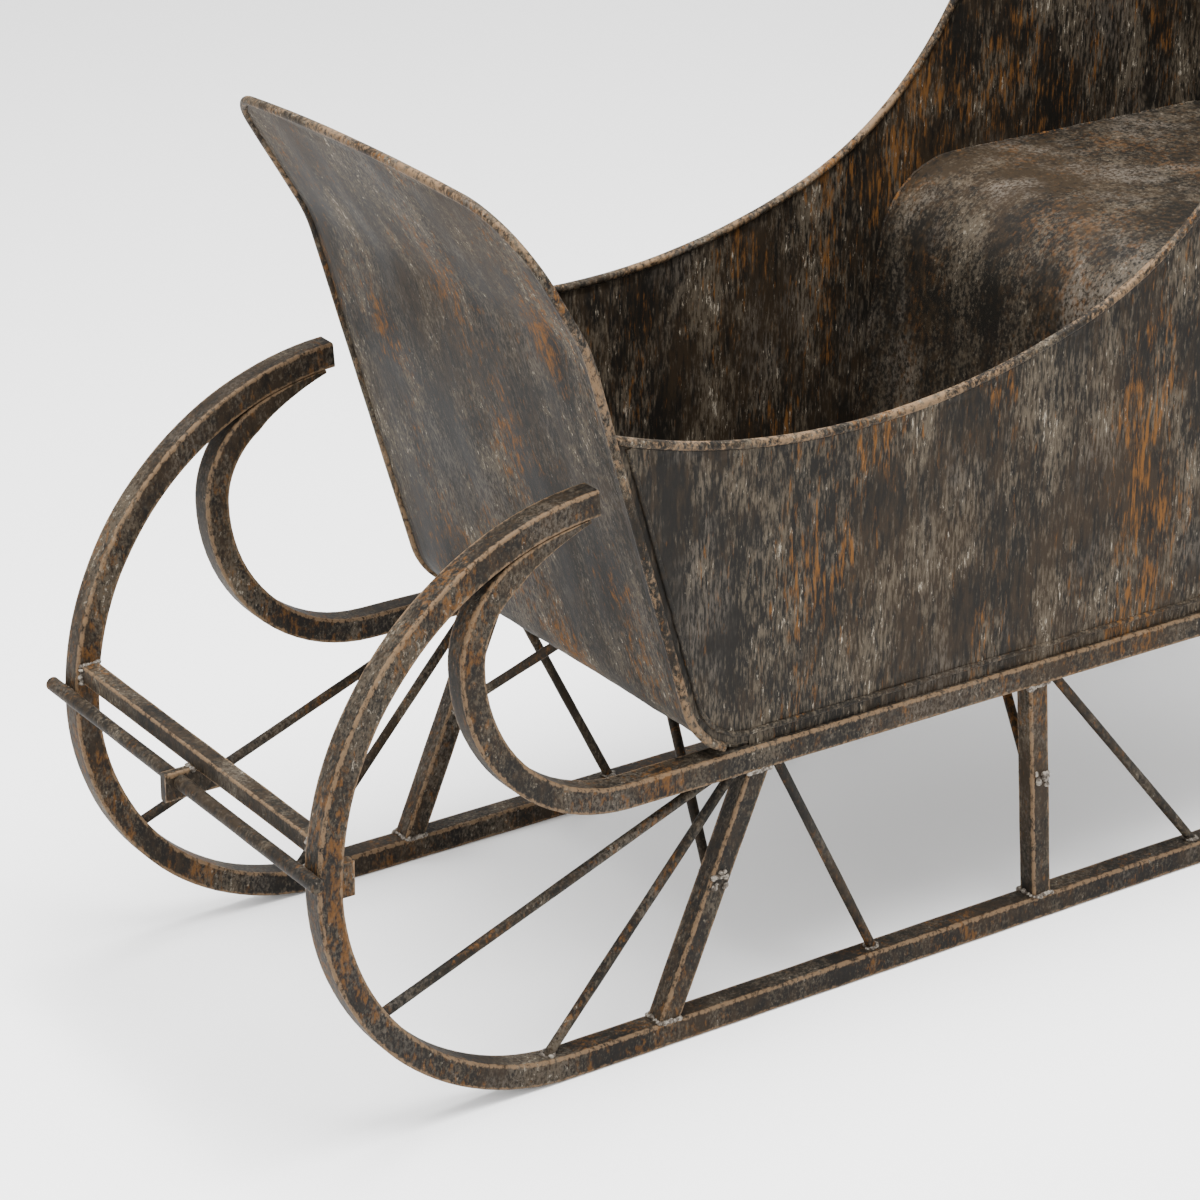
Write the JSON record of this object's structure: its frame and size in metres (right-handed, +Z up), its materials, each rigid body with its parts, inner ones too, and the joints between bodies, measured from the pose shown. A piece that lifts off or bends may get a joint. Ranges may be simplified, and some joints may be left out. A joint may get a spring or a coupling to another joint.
{
  "type": "horse drawn sleigh",
  "caption": "Open one-seat horse drawn sleigh in dark patinated iron: curled square-bar runners, scrolled body rails, leaning posts and thin stays under a sheet tub with a flared dash and rolled edges.",
  "frame": {"origin": "on the ground, midway along the overall length and midway between the two runners", "axes": "+X forward, towards the curled noses of the runners and the draw rod; +Y to the sleigh's left; +Z up, with the runners' undersides on z = 0"},
  "size_m": [1.6, 0.5, 1.06],
  "materials": {
    "bar_iron": "rough",
    "sheet_iron": "rough",
    "rim_iron": "rough",
    "seat_iron": "satin"
  },
  "bodies": {
    "root": {"left_runner": "bar_iron", "right_runner": "bar_iron", "left_body_rail": "bar_iron", "right_body_rail": "bar_iron", "left_front_post": "bar_iron", "left_middle_post": "bar_iron", "left_rear_post": "bar_iron", "right_front_post": "bar_iron", "right_middle_post": "bar_iron", "right_rear_post": "bar_iron", "left_toe_rod": "bar_iron", "left_nose_rod": "bar_iron", "left_front_stay": "bar_iron", "left_middle_stay": "bar_iron", "left_rear_stay": "bar_iron", "right_toe_rod": "bar_iron", "right_nose_rod": "bar_iron", "right_front_stay": "bar_iron", "right_middle_stay": "bar_iron", "right_rear_stay": "bar_iron", "left_front_brace": "bar_iron", "left_middle_brace": "bar_iron", "left_rear_brace": "bar_iron", "right_front_brace": "bar_iron", "right_middle_brace": "bar_iron", "right_rear_brace": "bar_iron", "crossbar": "bar_iron", "draw_rod": "bar_iron", "hitch_plate": "bar_iron", "runner_tab": "bar_iron", "floor_sheet": "sheet_iron", "dash": "sheet_iron", "seat_back": "sheet_iron", "left_side": "sheet_iron", "right_side": "sheet_iron", "dash_rim": "rim_iron", "seat_back_rim": "rim_iron", "left_side_rim": "rim_iron", "right_side_rim": "rim_iron", "seat": "seat_iron"}
  },
  "joints": []
}
